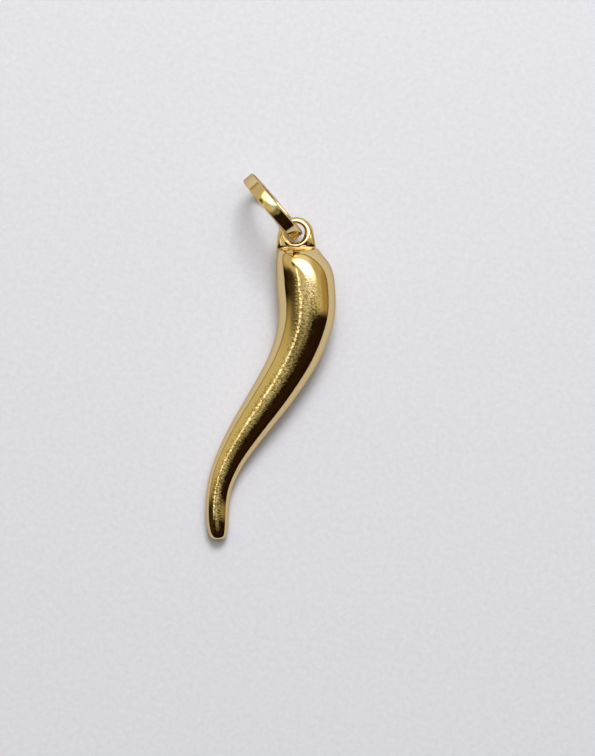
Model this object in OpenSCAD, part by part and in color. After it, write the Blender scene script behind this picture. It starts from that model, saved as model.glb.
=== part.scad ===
// Cornicello: an S-curved horn pendant lying on a flat surface, with a flat-strip bail through its eye.
// Millimetres, +Z up, the surface at z = 0, +Y from the horn's tip towards its eye.
// The origin is the centre of the base of the box around the whole pendant.

/* [Horn] */
// Number of sides around the horn
horn_sides = 40; // [16:4:64]
// Rings from one row of the horn's table to the next
rings_per_row = 3; // [2:1:6]

/* [Eye] */
// Radius of the eye's hole
hole_r = 0.73; // [0.7:0.01:0.78]
// Outer radius of the eye
eye_r = 1.27; // [1.22:0.01:1.35]
// Thickness of the eye along its hole
eye_t = 0.6; // [0.4:0.05:0.8]
// Number of steps around the eye's ring
eye_steps = 40; // [24:4:60]
// Number of sides around the eye's rounded wall
eye_sides = 16; // [8:4:24]

/* [Bail] */
// Outer radius of the bail
bail_r = 2.97; // [2.92:0.01:3]
// Width of the strip that the bail is bent from
strip_w = 0.96; // [0.8:0.02:1]
// Thickness of the strip
strip_t = 0.33; // [0.25:0.01:0.36]
// Radius of the strip's rounded edges
strip_edge_r = 0.08; // [0.05:0.01:0.12]
// Lean of the bail's top away from upright, in degrees
bail_lean = 4; // [0:0.5:5]

/* [Hidden] */
gold = [0.83, 0.64, 0.27];
smooth = 96;

// The horn, one row for each section square to Y, from the tip to the eye
ALONG = 0;
ACROSS = 1;
HALF_WIDTH = 2;
HALF_DEPTH = 3;
HEIGHT = 4;
horn_table = [
    // along, across, half width, half depth, height of the middle
    [0.00, -0.06, 0.00, 0.00, 0.74],
    [0.02, -0.10, 0.42, 0.40, 0.74],
    [0.28, -0.21, 0.67, 0.62, 0.74],
    [0.90, -0.33, 0.84, 0.76, 0.77],
    [2.00, -0.62, 0.90, 0.82, 0.83],
    [3.30, -0.86, 0.91, 0.85, 0.86],
    [4.60, -0.90, 0.99, 0.92, 0.93],
    [6.00, -0.66, 1.12, 1.01, 1.02],
    [7.50, -0.20, 1.30, 1.14, 1.15],
    [9.00, 0.33, 1.47, 1.27, 1.28],
    [10.50, 0.90, 1.61, 1.39, 1.40],
    [12.00, 1.47, 1.71, 1.49, 1.50],
    [13.50, 1.98, 1.79, 1.60, 1.61],
    [15.00, 2.36, 1.87, 1.73, 1.74],
    [16.50, 2.52, 1.98, 1.87, 1.88],
    [18.00, 2.45, 2.14, 1.97, 1.98],
    [19.30, 2.15, 2.28, 2.04, 2.05],
    [20.40, 1.82, 2.31, 2.05, 2.08],
    [21.30, 1.57, 2.28, 1.98, 2.14],
    [22.00, 1.34, 2.15, 1.74, 2.22],
    [22.50, 1.09, 1.96, 1.36, 2.27],
    [22.90, 0.80, 1.75, 0.91, 2.32],
    [23.15, 0.57, 1.60, 0.42, 2.35],
    [23.50, 0.36, 1.43, 0.22, 2.38],
    [24.00, 0.20, 1.22, 0.12, 2.40]
];

// Middle of the eye's outer circle and of its hole, across and along
eye_middle = [0.21, 23.86];
hole_middle = [0.14, 23.98];
eye_height = horn_table[len(horn_table) - 1][HEIGHT];

// Middle of the bail, across and along, and the way in plan from its far end to the eye
bail_middle = [-1.95, 25.44];
bail_heading = -36;

// Uniform cubic B-spline of the rows a, b, c and d, at t from 0 to 1
function spline(a, b, c, d, t) =
    (pow(1 - t, 3) * a + (3 * pow(t, 3) - 6 * t * t + 4) * b
    + (3 * (t + t * t - pow(t, 3)) + 1) * c + pow(t, 3) * d) / 6;

// The table with one row more at each end, so that the curve starts and stops on the table's own ends
function extended(rows) =
    let (last = len(rows) - 1)
    concat([2 * rows[0] - rows[1]], rows, [2 * rows[last] - rows[last - 1]]);

// Closely spaced rows along the curve
function smoothed(rows, steps) =
    let (all = extended(rows))
    concat(
        [for (i = [0 : len(rows) - 2], s = [0 : steps - 1])
            spline(all[i], all[i + 1], all[i + 2], all[i + 3], s / steps)],
        [rows[len(rows) - 1]]);

// Points of one elliptical section of the horn
function section(row) =
    [for (k = [0 : horn_sides - 1])
        let (a = 360 * k / horn_sides)
        [row[ACROSS] + row[HALF_WIDTH] * sin(a), row[ALONG], row[HEIGHT] + row[HALF_DEPTH] * cos(a)]];

// Quads from each ring of points to the next
function skin(rings, sides) =
    [for (i = [0 : rings - 2], k = [0 : sides - 1])
        let (n = (k + 1) % sides)
        [i * sides + k, (i + 1) * sides + k, (i + 1) * sides + n, i * sides + n]];

horn_rows = smoothed(horn_table, rings_per_row);
horn_ring_count = len(horn_rows) - 1;
horn_points = [for (i = [1 : horn_ring_count]) each section(horn_rows[i])];
tip_point = [horn_rows[0][ACROSS], horn_rows[0][ALONG], horn_rows[0][HEIGHT]];

// Half of the bail's extent along a way whose cosine to the bail's own axis is c
function bail_reach(c) =
    (bail_r - strip_edge_r) * sqrt(1 - c * c) + (strip_w / 2 - strip_edge_r) * abs(c) + strip_edge_r;
bail_z = bail_reach(sin(bail_lean));

// Box around the pendant in plan, which gives the origin
box_left = bail_middle[0] - bail_reach(cos(bail_lean) * sin(bail_heading));
box_right = max([for (p = horn_points) p[0]]);
box_front = tip_point[1];
box_back = bail_middle[1] + bail_reach(cos(bail_lean) * cos(bail_heading));
origin = [(box_left + box_right) / 2, (box_front + box_back) / 2, 0];

// Solid horn, closed by a point at the tip and by a flat face inside the eye
module horn_body() {
    tip = len(horn_points);
    tip_faces = [for (k = [0 : horn_sides - 1]) [tip, k, (k + 1) % horn_sides]];
    eye_face = [for (k = [1 : horn_sides]) tip - k];
    faces = concat(skin(horn_ring_count, horn_sides), tip_faces, [eye_face]);
    polyhedron(concat(horn_points, [tip_point]), faces, convexity = 4);
}

// One section of the eye's wall, from the hole's circle to the outer circle
function eye_section(turn) =
    let (way = [cos(turn), sin(turn)])
    let (inner = hole_middle + hole_r * way)
    let (outer = eye_middle + eye_r * way)
    let (middle = (inner + outer) / 2, half = norm(outer - inner) / 2)
    [for (k = [0 : eye_sides - 1])
        let (a = 360 * k / eye_sides, place = middle + half * cos(a) * way)
        [place[0], place[1], eye_height + eye_t / 2 * sin(a)]];

// Ring of the eye, with a rounded wall that is thinnest away from the horn
module eye_ring() {
    points = [for (s = [0 : eye_steps - 1]) each eye_section(360 * s / eye_steps)];
    faces = [for (s = [0 : eye_steps - 1], k = [0 : eye_sides - 1])
        let (m = (s + 1) % eye_steps, n = (k + 1) % eye_sides)
        [s * eye_sides + k, s * eye_sides + n, m * eye_sides + n, m * eye_sides + k]];
    polyhedron(points, faces, convexity = 4);
}

module horn() {
    color(gold)
    translate(-origin)
    difference() {
        union() {
            horn_body();
            eye_ring();
        }
        translate([hole_middle[0], hole_middle[1], 0])
        cylinder(r = hole_r, h = 2 * eye_height, $fn = smooth);
    }
}

// Cross-section of the strip, with its outer face at the bail's outer radius
module strip_section() {
    flat_w = strip_w - 2 * strip_edge_r;
    flat_t = strip_t - 2 * strip_edge_r;
    translate([bail_r - strip_t / 2, 0]) {
        square([strip_t, flat_w], center = true);
        square([flat_t, strip_w], center = true);
        for (face = [-1, 1], side = [-1, 1])
            translate([face * flat_t / 2, side * flat_w / 2])
            circle(r = strip_edge_r, $fn = smooth);
    }
}

module bail() {
    color(gold)
    translate([bail_middle[0], bail_middle[1], bail_z] - origin)
    rotate([90 + bail_lean, 0, bail_heading])
    rotate_extrude($fn = smooth)
    strip_section();
}

horn();
bail();
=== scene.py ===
"""Cornicello horn pendant: an S-curved gold horn with an eye, and a flat-strip bail through it.

The shapes are in millimetres in the frame's axes and become metres in Blender.
The horn's eye is at +Y, its tip at -Y, and the pendant lies on a sheet of paper at z = 0.
"""
from math import cos, pi, radians, sin, tan

import bmesh
import bpy
from mathutils import Matrix, Vector, kdtree


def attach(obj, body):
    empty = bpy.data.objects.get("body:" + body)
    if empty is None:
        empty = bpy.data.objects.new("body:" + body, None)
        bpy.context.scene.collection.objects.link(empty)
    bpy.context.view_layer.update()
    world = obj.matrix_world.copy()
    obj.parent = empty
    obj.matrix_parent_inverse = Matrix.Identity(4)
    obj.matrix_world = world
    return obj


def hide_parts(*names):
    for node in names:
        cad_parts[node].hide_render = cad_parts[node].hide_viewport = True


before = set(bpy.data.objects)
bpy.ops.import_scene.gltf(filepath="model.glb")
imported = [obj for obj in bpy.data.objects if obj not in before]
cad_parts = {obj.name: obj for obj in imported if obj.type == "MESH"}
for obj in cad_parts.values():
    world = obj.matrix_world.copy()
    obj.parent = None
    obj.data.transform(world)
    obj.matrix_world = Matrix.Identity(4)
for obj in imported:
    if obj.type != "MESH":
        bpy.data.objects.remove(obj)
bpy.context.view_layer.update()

MM = 0.001

# The photograph: its height in pixels, the real size of a pixel, and how far the camera is rolled
PHOTO_H = 756
PIXEL = 0.0755
ROLL = 13.77
# Height of the camera above the middle of the pendant, and the point that it looks down on
CAMERA_ABOVE = 180.0
LOOK_AT = (2.918, -0.375, 2.0)
SENSOR = 36
CLIP_START = 0.001

# The horn's own curved axis, one row for each section square to it, from the tip to the eye.
# TURN is the section's turn from square to Y, and LEAN is how far its crown leans towards +X.
X, Y, HEIGHT, HALF_WIDTH, HALF_DEPTH, TURN, LEAN = range(7)
HORN = [
    (0.00, -13.74, 0.73, 0.02, 0.02, 16, 0),
    (-0.01, -13.735, 0.73, 0.21, 0.20, 16, 0),
    (-0.02, -13.69, 0.73, 0.41, 0.38, 16, 0),
    (-0.05, -13.58, 0.73, 0.57, 0.53, 16, 0),
    (-0.12, -13.35, 0.74, 0.69, 0.64, 16, -0.01),
    (-0.26, -12.96, 0.77, 0.78, 0.72, 15, -0.02),
    (-0.42, -12.38, 0.81, 0.85, 0.78, 14, -0.03),
    (-0.60, -11.65, 0.85, 0.87, 0.81, 11, -0.03),
    (-0.78, -10.75, 0.88, 0.90, 0.84, 7, -0.04),
    (-0.86, -9.80, 0.92, 0.93, 0.88, 1, -0.04),
    (-0.81, -8.79, 0.98, 1.03, 0.95, -5, -0.05),
    (-0.60, -7.56, 1.04, 1.10, 1.02, -13, -0.05),
    (-0.20, -6.22, 1.16, 1.24, 1.14, -18, -0.06),
    (0.27, -4.87, 1.27, 1.37, 1.26, -20, -0.07),
    (0.80, -3.51, 1.37, 1.475, 1.36, -21, -0.07),
    (1.32, -2.145, 1.48, 1.595, 1.47, -20, -0.07),
    (1.79, -0.80, 1.57, 1.675, 1.56, -17, -0.06),
    (2.19, 0.535, 1.67, 1.775, 1.66, -13, -0.05),
    (2.44, 1.83, 1.79, 1.90, 1.78, -7, -0.02),
    (2.54, 3.09, 1.90, 2.01, 1.89, 1, 0.03),
    (2.50, 4.32, 2.00, 2.14, 1.99, 8, 0.08),
    (2.22, 5.51, 2.05, 2.19, 2.04, 12, 0.12),
    (1.94, 6.23, 2.07, 2.21, 2.05, 13.8, 0.14),
    (1.75, 6.95, 2.10, 2.21, 2.06, 13.8, 0.06),
    (1.47, 7.67, 2.15, 2.14, 2.02, 13.8, -0.06),
    (1.19, 8.22, 2.20, 1.98, 1.86, 13.8, -0.18),
    (0.91, 8.63, 2.25, 1.74, 1.56, 13.8, -0.22),
    (0.76, 8.865, 2.29, 1.63, 1.25, 13.8, -0.20),
    (0.69, 9.00, 2.32, 1.57, 0.96, 13.8, -0.15),
    (0.64, 9.07, 2.35, 1.50, 0.58, 13.8, -0.10),
    (0.62, 9.13, 2.38, 1.42, 0.34, 13.8, -0.05),
    (0.59, 9.22, 2.39, 1.30, 0.22, 13.8, 0),
    (0.55, 9.34, 2.40, 1.15, 0.17, 13.8, 0),
    (0.53, 9.40, 2.40, 1.05, 0.14, 13.8, 0),
    (0.52, 9.42, 2.40, 1.00, 0.10, 13.8, 0),
]
HORN_SIDES = 96
HORN_STEPS = 8

# The eye: a ring whose wall thickens towards the horn, with its crest leaning towards the hole by a share
# of its half width, and whose outer edge is drawn in at its foot
EYE_MIDDLE = (0.235, 10.085)
HOLE_MIDDLE = (0.165, 10.205)
HOLE_R = 0.73
EYE_R = 1.33
EYE_FOOT = 0.11
EYE_HEIGHT = 2.40
EYE_HALF = 0.31
EYE_SWELL = 0.12
EYE_LEAN = 0.25
EYE_STEPS = 120
EYE_SIDES = 32
# The two legs that run from the ring's sides up onto the horn's shoulders. Each row is the leg's middle,
# across and up in the photo from the eye's middle, its height, its half width and its half thickness.
LEFT_LEG = [
    (-0.93, 0.62, 2.40, 0.18, 0.16),
    (-1.06, 0.15, 2.40, 0.30, 0.28),
    (-1.03, -0.35, 2.40, 0.40, 0.30),
    (-0.90, -0.72, 2.39, 0.54, 0.31),
    (-0.90, -1.05, 2.33, 0.58, 0.31),
    (-0.95, -1.40, 2.16, 0.54, 0.30),
    (-1.00, -1.80, 2.00, 0.44, 0.30),
]
RIGHT_LEG = [
    (0.87, 0.62, 2.40, 0.24, 0.16),
    (1.00, 0.15, 2.40, 0.33, 0.28),
    (0.98, -0.30, 2.41, 0.42, 0.29),
    (0.82, -0.68, 2.39, 0.64, 0.29),
    (0.82, -1.02, 2.31, 0.70, 0.28),
    (0.90, -1.40, 2.13, 0.60, 0.27),
    (0.90, -1.80, 1.97, 0.50, 0.25),
]
LEG_SIDES = 48
# How close two points of the joined horn are when they are welded to one
WELD = 0.004
# The solder in the crease between eye and horn: the bend in degrees from which an edge counts as crease,
# how far the solder reaches from there, how often it is smoothed and by what share each time
CREASE = 20
SOLDER_REACH = 0.16
SOLDER_ROUNDS = 6
SOLDER_SHARE = 0.5

# The bail: a ring of flat strip. The strip's corners are bevelled, and each bevel's own edges are rounded.
# The section is bevelled while it is STRIP_START bevels thick, and then stretched to its thickness.
BAIL_MIDDLE = (-1.9215, 11.6655, 2.991)
BAIL_R = 2.97
STRIP_W = 0.96
STRIP_T = 0.33
STRIP_BEVEL = 0.075
STRIP_START = 2.02
STRIP_EDGE = 0.025
STRIP_WELD = 0.002
BAIL_HEADING = -36
BAIL_LEAN = 4
BAIL_STEPS = 144

# Gold where it is most polished, its deeper shade, its tint at grazing angles and the dark colour of its
# pits, partly real pitting and partly painted shade
GOLD = (0.78, 0.61, 0.315)
DEEP_GOLD = (0.76, 0.57, 0.275)
EDGE_TINT = (0.62, 0.58, 0.50)
PIT_AND_SHADE_GOLD = (0.33, 0.24, 0.09)
# Rubbed patches change the shade and the roughness. A pitch is in noise per metre, here and below,
# and a range is the part of the noise that counts.
RUBBED_SCALE = 1400
RUBBED_DETAIL = 3
RUBBED_RANGE = (0.35, 0.70)
ROUGHNESS = (0.04, 0.09)
# Wear, and the painted shade of the pits, begin where a surface faces up by the first share, and are full
# from the second on
CREST = (0.87, 0.97)
# The thick end has the least wear and the least painted pit shade: how far along Y they have gone down to
# nothing, over what length, and the share that stays
CREST_FADE_FROM = 7.6
CREST_FADE_RUN = 1.6
CREST_FADE_LEAST = 0.10
# Pits in the worn gold, darkened in colour partly as real pitting and partly as painted shade, and grains
# that are matt
PIT_AND_SHADE_SCALE = 6200
PIT_AND_SHADE_DETAIL = 1
PIT_AND_SHADE_RANGE = (0.50, 0.60)
PIT_AND_SHADE_MOST = 0.85
GRAIN_SCALE = 6400
GRAIN_DETAIL = 2
GRAIN_RANGE = (0.46, 0.62)
GRAIN_MATT = 0.16
# Orange peel, its depth in millimetres, and its share off the crests
PEEL_SCALE = 6400
PEEL_DETAIL = 1.5
PEEL_DEPTH = 0.0105
PEEL_LEAST = 0.10
# Paper, the shade of its fibre, the fibre's pitch and depth, and half the side of the sheet in metres
PAPER = (0.84, 0.85, 0.88)
PAPER_DARK = 0.80
PAPER_ROUGHNESS = 0.9
FIBRE_SCALE = 2600
FIBRE_DETAIL = 6
FIBRE_ROUGHNESS = 0.65
FIBRE_DEPTH = 0.015
SHEET_HALF = 1.5

# The lamp that draws the shadows. A way is an azimuth from the photo's right, anticlockwise, and a tilt
# from straight up, both in degrees. HALF is the angle that half of the lamp takes up, AWAY is in metres.
KEY_WAY = (82, 37)
KEY_HALF = 11
KEY_AWAY = 0.26
KEY_LIGHT = 15.1
KEY_TINT = (1.0, 0.998, 0.995)

# The room that the gold mirrors: the walls' colour, the room's strength in the gold, and its strength
# on the paper. Then the patches painted over the walls in order: how each is mixed in, its middle's azimuth
# and tilt, the angle from there within which it is full, the angle at which it ends, and its colour.
WALLS = (0.60, 0.55, 0.33)
ROOM_IN_GOLD = 1.12
ROOM_ON_PAPER = 0.62
ROOM = [
    # Bright side of the room, above the photo
    ("MIX", 75, 56, 14, 36, (0.88, 0.88, 0.72)),
    ("MIX", 128, 68, 12, 24, (0.57, 0.53, 0.42)),
    # Warm right side
    ("MIX", 25, 76, 15, 40, (0.55, 0.46, 0.25)),
    ("MIX", 0, 80, 14, 30, (0.40, 0.29, 0.12)),
    # The walls darken towards the table
    ("MULTIPLY", 0, 180, 92, 103, (0.62, 0.55, 0.42)),
    # The left wall darkens before the dark half begins
    ("MULTIPLY", 202, 78, 16, 36, (0.74, 0.68, 0.50)),
    # Dark half, below the photo, with a little light on its left
    ("MIX", 266, 93, 79, 87, (0.016, 0.008, 0.003)),
    ("MIX", 205, 60, 8, 24, (0.045, 0.028, 0.010)),
    ("MIX", 308, 52, 5, 20, (0.022, 0.011, 0.006)),
    # Round the camera, straight above
    ("MIX", 262, 11, 5, 23, (0.22, 0.20, 0.11)),
    ("MIX", 305, 24, 2, 8, (0.22, 0.20, 0.14)),
    ("MIX", 198, 16, 3, 10, (0.60, 0.59, 0.44)),
    ("MIX", 240, 7, 5, 15, (0.62, 0.62, 0.48)),
    ("MIX", 352, 22, 3, 13, (0.50, 0.46, 0.28)),
    # Softbox, overhead and towards the top of the photo, with soft edges, and the dark door beside it
    ("MIX", 118, 33, 8, 20, (2.00, 1.98, 1.90)),
    ("MIX", 28, 30, 8, 16, (1.50, 1.48, 1.42)),
    ("MIX", 75, 27, 20, 30, (2.70, 2.70, 3.20)),
    ("MIX", 158, 37, 4, 9, (0.11, 0.09, 0.035)),
    # Strip light on the left, whose mirror image is the thin streak along the horn
    ("MIX", 179, 28.0, 2.0, 4.5, (1.75, 1.70, 1.50)),
    ("MIX", 187, 28.5, 2.0, 4.5, (1.75, 1.70, 1.50)),
    ("MIX", 195, 29.5, 2.0, 4.5, (1.75, 1.70, 1.50)),
    ("MIX", 203, 31.0, 2.0, 4.5, (1.75, 1.70, 1.50)),
]


def spline(a, b, c, d, t):
    """Point of the uniform cubic B-spline of four rows."""
    shares = (
        (1 - t) ** 3,
        3 * t ** 3 - 6 * t * t + 4,
        3 * (t + t * t - t ** 3) + 1,
        t ** 3,
    )
    return [sum(share * value for share, value in zip(shares, values)) / 6 for values in zip(a, b, c, d)]


def smoothed(rows, steps):
    """Closely spaced rows along the curve, which starts and stops on the table's own ends."""
    first = [2 * p - q for p, q in zip(rows[0], rows[1])]
    last = [2 * p - q for p, q in zip(rows[-1], rows[-2])]
    every = [first, *rows, last]
    found = [
        spline(*every[i:i + 4], s / steps)
        for i in range(len(rows) - 1)
        for s in range(steps)
    ]
    return [*found, list(rows[-1])]


def section_place(row):
    """Matrix from a unit circle in the XY plane to one upright section of the horn."""
    stretch = Matrix.Diagonal((row[HALF_WIDTH] * MM, row[HALF_DEPTH] * MM, 1, 1))
    stretch[0][1] = row[LEAN] * MM
    upright = Matrix.Rotation(pi / 2, 4, "X")
    turned = Matrix.Rotation(radians(row[TURN]), 4, "Z")
    place = Matrix.Translation(Vector((row[X], row[Y], row[HEIGHT])) * MM)
    return place @ turned @ upright @ stretch


def sweep(bm, sides, places, closed=False):
    """Carries a unit circle through each place in turn. The ends are closed, or joined to each other."""
    bmesh.ops.create_circle(bm, segments=sides, radius=1, matrix=places[0])
    ring = bm.edges[:]
    first = ring
    for was, now in zip(places, places[1:]):
        made = bmesh.ops.extrude_edge_only(bm, edges=ring)["geom"]
        verts = [g for g in made if isinstance(g, bmesh.types.BMVert)]
        bmesh.ops.transform(bm, matrix=now @ was.inverted(), verts=verts)
        ring = [
            g for g in made
            if isinstance(g, bmesh.types.BMEdge) and all(v in verts for v in g.verts)
        ]
    if closed:
        bmesh.ops.bridge_loops(bm, edges=[*ring, *first])
    else:
        bmesh.ops.contextual_create(bm, geom=first)
        bmesh.ops.contextual_create(bm, geom=ring)
    return bm


def make_piece(name, bm):
    """Object with the finished mesh, smooth and facing outwards. What faces up carries the most wear and the
    most painted pit shade.
    """
    bmesh.ops.recalc_face_normals(bm, faces=bm.faces)
    bm.normal_update()
    for face in bm.faces:
        face.smooth = True
    # The share that faces up, fading towards the thick end, carries the wear and also places the painted
    # shade of the pits.
    wear_and_shade = bm.verts.layers.float.get("wear_and_shade") or bm.verts.layers.float.new("wear_and_shade")
    for v in bm.verts:
        crest = min(1, max(0, (v.normal.z - CREST[0]) / (CREST[1] - CREST[0])))
        v[wear_and_shade] = crest * min(1, max(CREST_FADE_LEAST, (CREST_FADE_FROM - v.co.y / MM) / CREST_FADE_RUN))
    mesh = bpy.data.meshes.new(name)
    bm.to_mesh(mesh)
    bm.free()
    piece = bpy.data.objects.new(name, mesh)
    bpy.context.scene.collection.objects.link(piece)
    return piece


def horn_body():
    """The horn without its eye, swept along its curved axis."""
    places = [section_place(row) for row in smoothed(HORN, HORN_STEPS)]
    return make_piece("horn_body", sweep(bmesh.new(), HORN_SIDES, places))


def eye_outer(way):
    """Distance from the eye's middle to the ring's outer edge along a way in the photo's axes."""
    return EYE_R - EYE_FOOT * min(0, way[1]) ** 2


def eye_thick(way):
    """Half thickness of the ring's wall along a way."""
    return EYE_HALF * (1 - EYE_SWELL * way[1])


def eye_leg(name, rows):
    """One leg of the eye, with each section square to the photo's upward axis."""
    roll = Matrix.Rotation(radians(ROLL), 2)
    right = roll @ Vector((1, 0))
    up = roll @ Vector((0, 1))
    places = []
    for across, along, height, half, thick in smoothed(rows, HORN_STEPS):
        middle = Vector(EYE_MIDDLE) + across * right + along * up
        places.append(Matrix((
            (right.x * half * MM, 0, up.x, middle.x * MM),
            (right.y * half * MM, 0, up.y, middle.y * MM),
            (0, thick * MM, 0, height * MM),
            (0, 0, 0, 1),
        )))
    return make_piece(name, sweep(bmesh.new(), LEG_SIDES, places))


def eye_ring():
    """Ring of the eye, with a rounded wall that is thinnest away from the horn."""
    roll = Matrix.Rotation(radians(ROLL), 2)
    places = []
    for step in range(EYE_STEPS):
        turn = 2 * pi * step / EYE_STEPS
        way = (cos(turn), sin(turn))
        seen = roll @ Vector(way)
        inner = Vector(HOLE_MIDDLE) + HOLE_R * seen
        outer = Vector(EYE_MIDDLE) + eye_outer(way) * seen
        middle = (inner + outer) / 2
        half = (outer - inner).length / 2
        across = (outer - inner).normalized()
        places.append(Matrix((
            (across.x * half * MM, -across.x * half * EYE_LEAN * MM, across.y, middle.x * MM),
            (across.y * half * MM, -across.y * half * EYE_LEAN * MM, -across.x, middle.y * MM),
            (0, eye_thick(way) * MM, 0, EYE_HEIGHT * MM),
            (0, 0, 0, 1),
        )))
    return make_piece("eye_ring", sweep(bmesh.new(), EYE_SIDES, places, closed=True))


def solder(bm):
    """Fills the crease between the eye and the horn, by smoothing what lies close to it."""
    bend = -radians(CREASE)
    sharp = {e for e in bm.edges if e.is_manifold and e.calc_face_angle_signed() < bend}
    crease = [v for v in bm.verts if any(e in sharp for e in v.link_edges)]
    tree = kdtree.KDTree(len(crease))
    for i, v in enumerate(crease):
        tree.insert(v.co, i)
    tree.balance()
    near = [v for v in bm.verts if tree.find(v.co)[2] < SOLDER_REACH * MM]
    for _ in range(SOLDER_ROUNDS):
        bmesh.ops.smooth_vert(
            bm, verts=near, factor=SOLDER_SHARE, use_axis_x=True, use_axis_y=True, use_axis_z=True
        )


def horn():
    """The horn's body with the eye's ring and legs joined to it, and solder in the crease."""
    body = horn_body()
    parts = [eye_ring(), eye_leg("left_leg", LEFT_LEG), eye_leg("right_leg", RIGHT_LEG)]
    for part in parts:
        join = body.modifiers.new("join", "BOOLEAN")
        join.operation = "UNION"
        join.solver = "EXACT"
        join.object = part
    graph = bpy.context.evaluated_depsgraph_get()
    mesh = bpy.data.meshes.new_from_object(body.evaluated_get(graph))
    for part in (body, *parts):
        bpy.data.objects.remove(part)
    bm = bmesh.new()
    bm.from_mesh(mesh)
    bpy.data.meshes.remove(mesh)
    bmesh.ops.remove_doubles(bm, verts=bm.verts, dist=WELD * MM)
    solder(bm)
    return make_piece("horn_gold", bm)


def strip_section(bm, place):
    """Section of the strip, square to the bail's circle: flat faces, and edges bevelled to their middle."""
    made = bmesh.ops.create_grid(bm, x_segments=1, y_segments=1, size=0.5)
    bmesh.ops.scale(bm, verts=made["verts"], vec=(STRIP_START * STRIP_BEVEL * MM, STRIP_W * MM, 1))
    bmesh.ops.bevel(
        bm, geom=bm.verts[:], offset=STRIP_BEVEL * MM, segments=1, profile=0.5, affect="VERTICES", material=-1
    )
    bmesh.ops.scale(bm, verts=bm.verts[:], vec=(STRIP_T / STRIP_START / STRIP_BEVEL, 1, 1))
    bmesh.ops.bevel(
        bm, geom=bm.verts[:], offset=STRIP_EDGE * MM, segments=3, profile=0.5, affect="VERTICES", material=-1
    )
    bmesh.ops.transform(bm, matrix=place, verts=bm.verts)


def bail():
    """The strip's section spun round the bail's axis, then turned and leaned into place."""
    bm = bmesh.new()
    out = Matrix.Translation(((BAIL_R - STRIP_T / 2) * MM, 0, 0)) @ Matrix.Rotation(pi / 2, 4, "X")
    strip_section(bm, out)
    faces = list(bm.faces)
    edges = list(bm.edges)
    bmesh.ops.delete(bm, geom=faces, context="FACES_ONLY")
    bmesh.ops.spin(
        bm, geom=edges, cent=(0, 0, 0), axis=(0, 0, 1), angle=2 * pi, steps=BAIL_STEPS, use_merge=True
    )
    bmesh.ops.remove_doubles(bm, verts=bm.verts, dist=STRIP_WELD * MM)
    turn = Matrix.Rotation(radians(BAIL_HEADING), 4, "Z") @ Matrix.Rotation(radians(90 + BAIL_LEAN), 4, "X")
    place = Matrix.Translation(Vector(BAIL_MIDDLE) * MM) @ turn
    bmesh.ops.transform(bm, matrix=place, verts=bm.verts)
    return make_piece("bail_gold", bm)


def noise(tree, place, scale, detail):
    """Noise over the object's own coordinates."""
    node = tree.nodes.new("ShaderNodeTexNoise")
    node.inputs["Scale"].default_value = scale
    node.inputs["Detail"].default_value = detail
    tree.links.new(place.outputs["Object"], node.inputs["Vector"])
    return node.outputs["Fac"]


def ranged(tree, value, source, target):
    """Value carried from one range to another, and held at its ends."""
    node = tree.nodes.new("ShaderNodeMapRange")
    node.inputs["From Min"].default_value, node.inputs["From Max"].default_value = source
    node.inputs["To Min"].default_value, node.inputs["To Max"].default_value = target
    tree.links.new(value, node.inputs["Value"])
    return node.outputs["Result"]


def reckoned(tree, operation, *values):
    """Result of one operation on values."""
    node = tree.nodes.new("ShaderNodeMath")
    node.operation = operation
    for value, entry in zip(values, node.inputs):
        tree.links.new(value, entry)
    return node.outputs["Value"]


def mixed(tree, share, low, tint, mode="MIX"):
    """Colour, a tuple or another node's, that goes over to a tint by a share."""
    node = tree.nodes.new("ShaderNodeMix")
    node.data_type = "RGBA"
    node.blend_type = mode
    tree.links.new(share, node.inputs[0])
    if isinstance(low, tuple):
        node.inputs[6].default_value = (*low, 1)
    else:
        tree.links.new(low, node.inputs[6])
    node.inputs[7].default_value = (*tint, 1)
    return node.outputs[2]


def dented(tree, height, depth, shader):
    """Bump with a depth in millimetres on a shader."""
    node = tree.nodes.new("ShaderNodeBump")
    node.inputs["Distance"].default_value = depth * MM
    tree.links.new(height, node.inputs["Height"])
    tree.links.new(node.outputs["Normal"], shader.inputs["Normal"])
    return node


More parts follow.
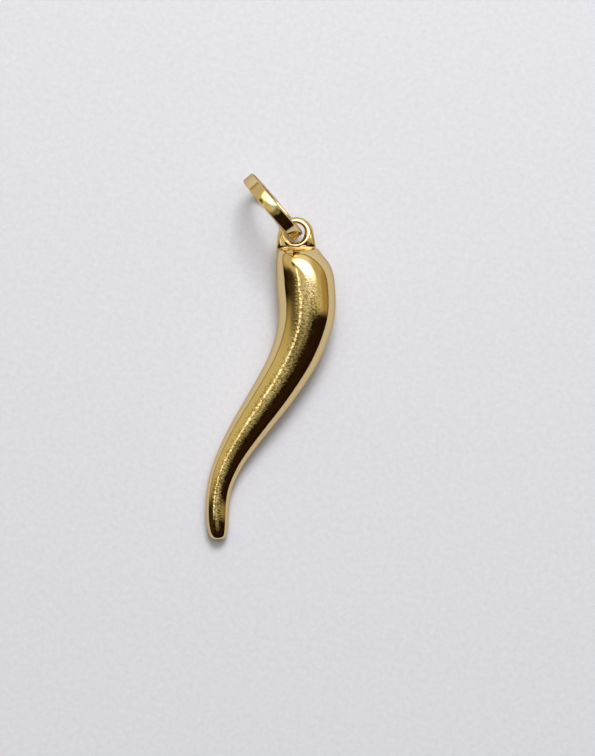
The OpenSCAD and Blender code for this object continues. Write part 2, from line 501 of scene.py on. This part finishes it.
def gold():
    """Polished gold with small rubbed patches. Where it faces up it has wear: pits whose dark colour is
    partly real pitting and partly painted shade, matt grains and orange peel.
    """
    material = bpy.data.materials.new("polished_gold")
    material.use_nodes = True
    tree = material.node_tree
    shader = tree.nodes["Principled BSDF"]
    shader.inputs["Metallic"].default_value = 1
    shader.inputs["Specular Tint"].default_value = (*EDGE_TINT, 1)
    place = tree.nodes.new("ShaderNodeTexCoord")
    attribute = tree.nodes.new("ShaderNodeAttribute")
    attribute.attribute_name = "wear_and_shade"
    wear_and_shade = attribute.outputs["Fac"]

    rubbed = noise(tree, place, RUBBED_SCALE, RUBBED_DETAIL)
    gloss = ranged(tree, rubbed, RUBBED_RANGE, ROUGHNESS)
    grain = noise(tree, place, GRAIN_SCALE, GRAIN_DETAIL)
    matt = ranged(tree, grain, GRAIN_RANGE, (0, GRAIN_MATT))
    roughness = reckoned(tree, "MULTIPLY_ADD", matt, wear_and_shade, gloss)
    tree.links.new(roughness, shader.inputs["Roughness"])

    shade = mixed(tree, rubbed, GOLD, DEEP_GOLD)
    # The pits darken the gold's colour where it faces up: partly real pitting, partly painted shade for the
    # mottled reflections on the crest.
    pit_and_shade_noise = noise(tree, place, PIT_AND_SHADE_SCALE, PIT_AND_SHADE_DETAIL)
    pit_and_shade = reckoned(tree, "MULTIPLY", ranged(tree, pit_and_shade_noise, PIT_AND_SHADE_RANGE, (0, PIT_AND_SHADE_MOST)), wear_and_shade)
    tree.links.new(mixed(tree, pit_and_shade, shade, PIT_AND_SHADE_GOLD), shader.inputs["Base Color"])

    peel = dented(tree, noise(tree, place, PEEL_SCALE, PEEL_DETAIL), PEEL_DEPTH, shader)
    tree.links.new(ranged(tree, wear_and_shade, (0, 1), (PEEL_LEAST, 1)), peel.inputs["Strength"])
    return material


def paper():
    """Matt paper with a fine fibre."""
    material = bpy.data.materials.new("paper")
    material.use_nodes = True
    tree = material.node_tree
    shader = tree.nodes["Principled BSDF"]
    shader.inputs["Roughness"].default_value = PAPER_ROUGHNESS
    place = tree.nodes.new("ShaderNodeTexCoord")
    fibre = noise(tree, place, FIBRE_SCALE, FIBRE_DETAIL)
    fibre.node.inputs["Roughness"].default_value = FIBRE_ROUGHNESS
    dark = tuple(PAPER_DARK * c for c in PAPER)
    tree.links.new(mixed(tree, fibre, dark, PAPER), shader.inputs["Base Color"])
    dented(tree, fibre, FIBRE_DEPTH, shader)
    return material


def floor():
    """Sheet of paper that the pendant lies on."""
    bm = bmesh.new()
    bmesh.ops.create_grid(bm, x_segments=1, y_segments=1, size=SHEET_HALF)
    piece = make_piece("paper_floor", bm)
    piece.data.materials.append(paper())
    return piece


def photo_way(azimuth, tilt):
    """Direction at an azimuth from the photo's right, anticlockwise, and a tilt from straight up."""
    a = radians(azimuth + ROLL)
    t = radians(tilt)
    return Vector((cos(a) * sin(t), sin(a) * sin(t), cos(t)))


def key():
    """Round lamp on the softbox's side, which draws the shadows. The gold doesn't mirror it."""
    way = photo_way(*KEY_WAY)
    light = bpy.data.lights.new("key", "AREA")
    light.shape = "DISK"
    light.size = 2 * KEY_AWAY * tan(radians(KEY_HALF))
    light.energy = KEY_LIGHT * pi * pi * light.size ** 2 / 4
    light.color = KEY_TINT
    stand = bpy.data.objects.new("key", light)
    bpy.context.scene.collection.objects.link(stand)
    stand.location = way * KEY_AWAY
    stand.rotation_mode = "QUATERNION"
    stand.rotation_quaternion = way.to_track_quat("Z", "Y")
    stand.visible_camera = False
    stand.visible_glossy = False


def room():
    """World painted patch by patch over the colour of the walls."""
    world = bpy.data.worlds.new("room")
    bpy.context.scene.world = world
    world.use_nodes = True
    tree = world.node_tree
    background = tree.nodes["Background"]
    place = tree.nodes.new("ShaderNodeTexCoord")
    colour = WALLS
    for mode, azimuth, tilt, full, end, tint in ROOM:
        facing = tree.nodes.new("ShaderNodeVectorMath")
        facing.operation = "DOT_PRODUCT"
        facing.inputs[1].default_value = photo_way(azimuth, tilt)
        tree.links.new(place.outputs["Generated"], facing.inputs[0])
        share = ranged(tree, facing.outputs["Value"], (cos(radians(end)), cos(radians(full))), (0, 1))
        share.node.interpolation_type = "SMOOTHSTEP"
        colour = mixed(tree, share, colour, tint, mode)
    tree.links.new(colour, background.inputs["Color"])
    ray = tree.nodes.new("ShaderNodeLightPath")
    strength = ranged(tree, ray.outputs["Is Diffuse Ray"], (0, 1), (ROOM_IN_GOLD, ROOM_ON_PAPER))
    tree.links.new(strength, background.inputs["Strength"])


def camera():
    """Camera that looks straight down, far enough away to take in the whole photo."""
    data = bpy.data.cameras.new("camera")
    data.sensor_width = SENSOR
    data.lens = data.sensor_width * CAMERA_ABOVE / (PHOTO_H * PIXEL)
    data.clip_start = CLIP_START
    eye = bpy.data.objects.new("camera", data)
    bpy.context.scene.collection.objects.link(eye)
    eye.location = (Vector(LOOK_AT) + Vector((0, 0, CAMERA_ABOVE))) * MM
    eye.rotation_euler = (0, 0, radians(ROLL))
    bpy.context.scene.camera = eye


gold_finish = gold()
for piece, node in ((horn(), "horn"), (bail(), "bail")):
    piece.data.materials.append(gold_finish)
    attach(piece, "root")
    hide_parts(node)

floor()
room()
key()
camera()
bpy.context.scene.view_settings.view_transform = "Standard"
